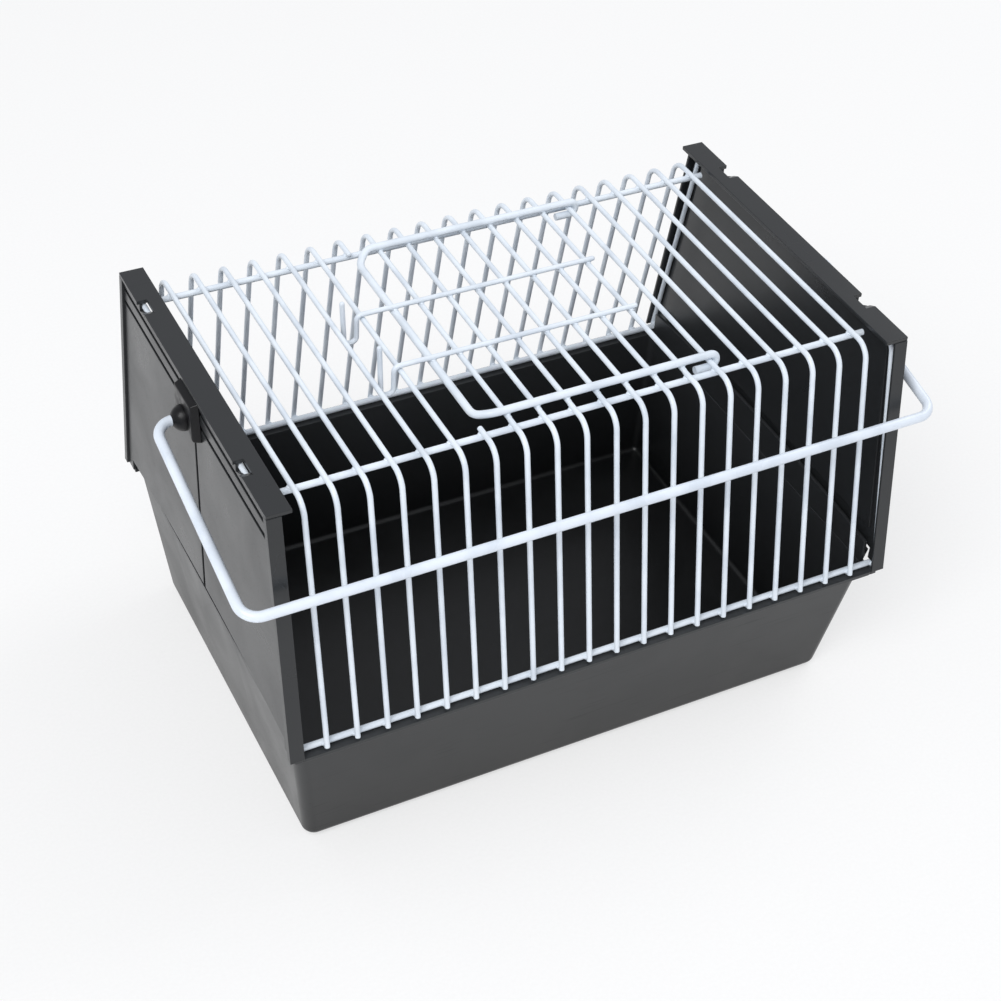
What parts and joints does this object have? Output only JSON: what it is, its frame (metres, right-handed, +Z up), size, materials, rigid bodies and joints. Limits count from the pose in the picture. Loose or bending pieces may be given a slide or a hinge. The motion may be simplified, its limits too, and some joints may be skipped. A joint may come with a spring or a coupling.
{
  "type": "parrot cage",
  "caption": "Small carrying cage: leaning tub, wire sides and roof between two moulded end panels, hinged roof door and folding wire handle.",
  "frame": {"origin": "centre of the flat base, on the surface the cage stands on", "axes": "+X along the length towards the right end panel, +Y to the back, +Z up"},
  "size_m": [0.2888, 0.185, 0.1793],
  "materials": {
    "tub_plastic": "satin black moulded polypropylene",
    "panel_plastic": "satin black moulded polypropylene",
    "pivot_plastic": "smooth black moulded nylon",
    "wire_coating": "glossy white powder coat on steel wire",
    "handle_coating": "glossy white powder coat on steel wire"
  },
  "bodies": {
    "tub": {"base_tub": "tub_plastic"},
    "cage": {"back_lower_rail": "wire_coating", "back_upper_rail": "wire_coating", "back_wire_08": "wire_coating", "back_wire_09": "wire_coating", "back_wire_10": "wire_coating", "back_wire_11": "wire_coating", "back_wire_12": "wire_coating", "back_wire_13": "wire_coating", "back_wire_14": "wire_coating", "back_wire_15": "wire_coating", "front_lower_rail": "wire_coating", "front_upper_rail": "wire_coating", "front_wire_08": "wire_coating", "front_wire_09": "wire_coating", "front_wire_10": "wire_coating", "front_wire_11": "wire_coating", "front_wire_12": "wire_coating", "front_wire_13": "wire_coating", "front_wire_14": "wire_coating", "front_wire_15": "wire_coating", "hoop_wire_01": "wire_coating", "hoop_wire_02": "wire_coating", "hoop_wire_03": "wire_coating", "hoop_wire_04": "wire_coating", "hoop_wire_05": "wire_coating", "hoop_wire_06": "wire_coating", "hoop_wire_07": "wire_coating", "hoop_wire_16": "wire_coating", "hoop_wire_17": "wire_coating", "hoop_wire_18": "wire_coating", "hoop_wire_19": "wire_coating", "hoop_wire_20": "wire_coating", "hoop_wire_21": "wire_coating", "hoop_wire_22": "wire_coating", "left_end_panel": "panel_plastic", "left_pivot_block": "pivot_plastic", "right_end_panel": "panel_plastic", "right_pivot_block": "pivot_plastic"},
    "handle": {"carry_handle": "handle_coating", "left_pivot_knob": "pivot_plastic", "right_pivot_knob": "pivot_plastic"},
    "door": {"door_bar_1": "wire_coating", "door_bar_2": "wire_coating", "door_bar_3": "wire_coating", "door_bar_4": "wire_coating", "door_bar_5": "wire_coating", "door_bar_6": "wire_coating", "door_bar_7": "wire_coating", "door_frame": "wire_coating", "front_latch_wire": "wire_coating", "rear_latch_wire": "wire_coating"}
  },
  "joints": [
    {"name": "cage_lift", "type": "slide", "parent": "tub", "child": "cage", "axis": [0, 0, 1], "range_m": [0, 0.12]},
    {"name": "handle_swing", "type": "hinge", "parent": "cage", "child": "handle", "pos_m": [0, 0, 0.1556], "axis": [-1, 0, 0], "range_deg": [-6, 209]},
    {"name": "door_swing", "type": "hinge", "parent": "cage", "child": "door", "pos_m": [0.054, 0, 0.1659], "axis": [0, 1, 0], "range_deg": [0, 150]}
  ]
}
